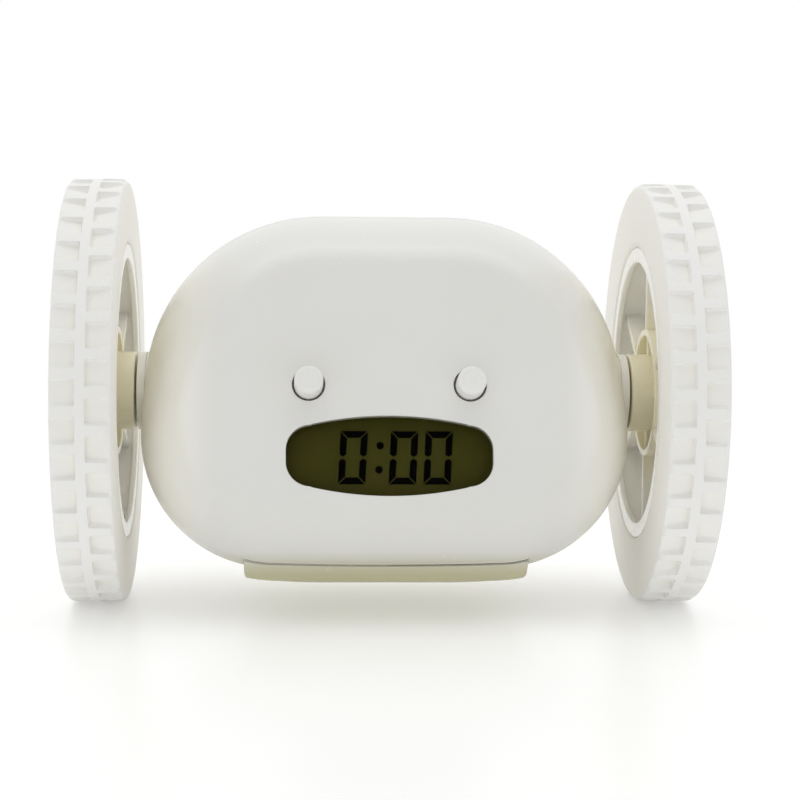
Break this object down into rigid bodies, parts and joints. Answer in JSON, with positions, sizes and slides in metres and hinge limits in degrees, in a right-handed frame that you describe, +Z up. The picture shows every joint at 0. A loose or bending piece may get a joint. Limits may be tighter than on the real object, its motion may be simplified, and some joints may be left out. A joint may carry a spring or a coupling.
{
  "type": "runaway alarm clock",
  "caption": "Rounded desk alarm clock with a small liquid-crystal face and push-button eyes, slung between two large driven wheels that let it roll away.",
  "frame": {"origin": "on the floor under the middle of the axle line", "axes": "+X along the axle to the clock's left-hand side as a viewer faces it, +Z up, the face looks towards -Y"},
  "size_m": [0.1328, 0.09, 0.09],
  "materials": {
    "shell_white": "gloss",
    "cap_white": "satin",
    "hub_cream": "gloss",
    "tyre_white": "matte",
    "lens_clear": "clear",
    "lcd_olive": "satin",
    "lcd_ink": "matte",
    "holder_grey": "matte",
    "black_plastic": "satin",
    "strip_rubber": "matte",
    "board_green": "satin",
    "gear_nylon": "satin",
    "steel": "brushed",
    "motor_can": "brushed",
    "brass": "polished",
    "cell_sleeve": "satin",
    "lead_red": "satin",
    "lead_black": "satin",
    "lead_grey": "satin"
  },
  "bodies": {
    "clock": {"front_shell": "shell_white", "rear_shell": "shell_white", "display_lens": "lens_clear", "lcd_panel": "lcd_olive", "lcd_segments": "lcd_ink", "lcd_holder": "holder_grey", "contact_strip": "strip_rubber", "main_board": "board_green", "board_parts": "black_plastic", "front_switches": "black_plastic", "rear_board": "board_green", "rear_switches": "black_plastic", "mode_switch": "steel", "sounder": "black_plastic", "battery_tray": "holder_grey", "cells": "cell_sleeve", "balance_weight": "steel", "battery_contacts": "brass", "motor_left": "motor_can", "gear_pin_left": "steel", "gearbox_left": "holder_grey", "gearbox_lid_left": "holder_grey", "collar_left": "shell_white", "motor_right": "motor_can", "gear_pin_right": "steel", "gearbox_right": "holder_grey", "gearbox_lid_right": "holder_grey", "collar_right": "shell_white", "body_screws": "steel", "board_screws": "steel", "gearbox_screws": "steel", "motor_leads": "lead_red", "battery_leads": "lead_black", "sounder_leads": "lead_red", "switch_leads": "lead_grey"},
    "cover": {"battery_cover": "shell_white"},
    "time_cap": {"time_button": "cap_white"},
    "alarm_cap": {"alarm_button": "cap_white"},
    "hour_cap": {"hour_button": "cap_white"},
    "minute_cap": {"minute_button": "cap_white"},
    "mode_knob": {"mode_slider": "cap_white"},
    "left_wheel": {"tyre_left": "tyre_white", "hub_left": "hub_cream", "hub_cap_left": "hub_cream", "wheel_screw_left": "steel", "axle_left": "steel", "wheel_gear_left": "gear_nylon"},
    "left_double": {"double_gear_left": "gear_nylon"},
    "left_pinion": {"pinion_left": "brass"},
    "right_wheel": {"tyre_right": "tyre_white", "hub_right": "hub_cream", "hub_cap_right": "hub_cream", "wheel_screw_right": "steel", "axle_right": "steel", "wheel_gear_right": "gear_nylon"},
    "right_double": {"double_gear_right": "gear_nylon"},
    "right_pinion": {"pinion_right": "brass"}
  },
  "joints": [
    {"name": "left_wheel_spin", "type": "hinge", "parent": "clock", "child": "left_wheel", "pos_m": [-0.0604, 0, 0.045], "axis": [1, 0, 0], "continuous": true},
    {"name": "right_wheel_spin", "type": "hinge", "parent": "clock", "child": "right_wheel", "pos_m": [0.0604, 0, 0.045], "axis": [1, 0, 0], "continuous": true},
    {"name": "left_double_spin", "type": "hinge", "parent": "clock", "child": "left_double", "pos_m": [-0.034, 0.01147, 0.05303], "axis": [1, 0, 0], "continuous": true},
    {"name": "left_pinion_spin", "type": "hinge", "parent": "clock", "child": "left_pinion", "pos_m": [-0.032, 0.02171, 0.04586], "axis": [1, 0, 0], "continuous": true},
    {"name": "right_double_spin", "type": "hinge", "parent": "clock", "child": "right_double", "pos_m": [0.034, 0.01147, 0.05303], "axis": [1, 0, 0], "continuous": true},
    {"name": "right_pinion_spin", "type": "hinge", "parent": "clock", "child": "right_pinion", "pos_m": [0.032, 0.02171, 0.04586], "axis": [1, 0, 0], "continuous": true},
    {"name": "time_press", "type": "slide", "parent": "clock", "child": "time_cap", "axis": [0, 0.9613, -0.2756], "range_m": [0, 0.0005], "stiffness_N_per_m": 500, "springref_m": -0.0004},
    {"name": "alarm_press", "type": "slide", "parent": "clock", "child": "alarm_cap", "axis": [0, 0.9613, -0.2756], "range_m": [0, 0.0005], "stiffness_N_per_m": 500, "springref_m": -0.0004},
    {"name": "hour_press", "type": "slide", "parent": "clock", "child": "hour_cap", "axis": [0, -1, 0], "range_m": [0, 0.0005], "stiffness_N_per_m": 500, "springref_m": -0.0004},
    {"name": "minute_press", "type": "slide", "parent": "clock", "child": "minute_cap", "axis": [0, -1, 0], "range_m": [0, 0.0005], "stiffness_N_per_m": 500, "springref_m": -0.0004},
    {"name": "mode_slide", "type": "slide", "parent": "clock", "child": "mode_knob", "axis": [1, 0, 0], "range_m": [0, 0.0024]},
    {"name": "cover_release", "type": "slide", "parent": "clock", "child": "cover", "axis": [0, 0, -1], "range_m": [0, 0.004]}
  ],
  "couplings": [
    {"joint": "left_double_spin", "follows": "left_wheel_spin", "ratio": -3.6667},
    {"joint": "left_pinion_spin", "follows": "left_wheel_spin", "ratio": 14.667},
    {"joint": "right_double_spin", "follows": "right_wheel_spin", "ratio": -3.6667},
    {"joint": "right_pinion_spin", "follows": "right_wheel_spin", "ratio": 14.667}
  ]
}
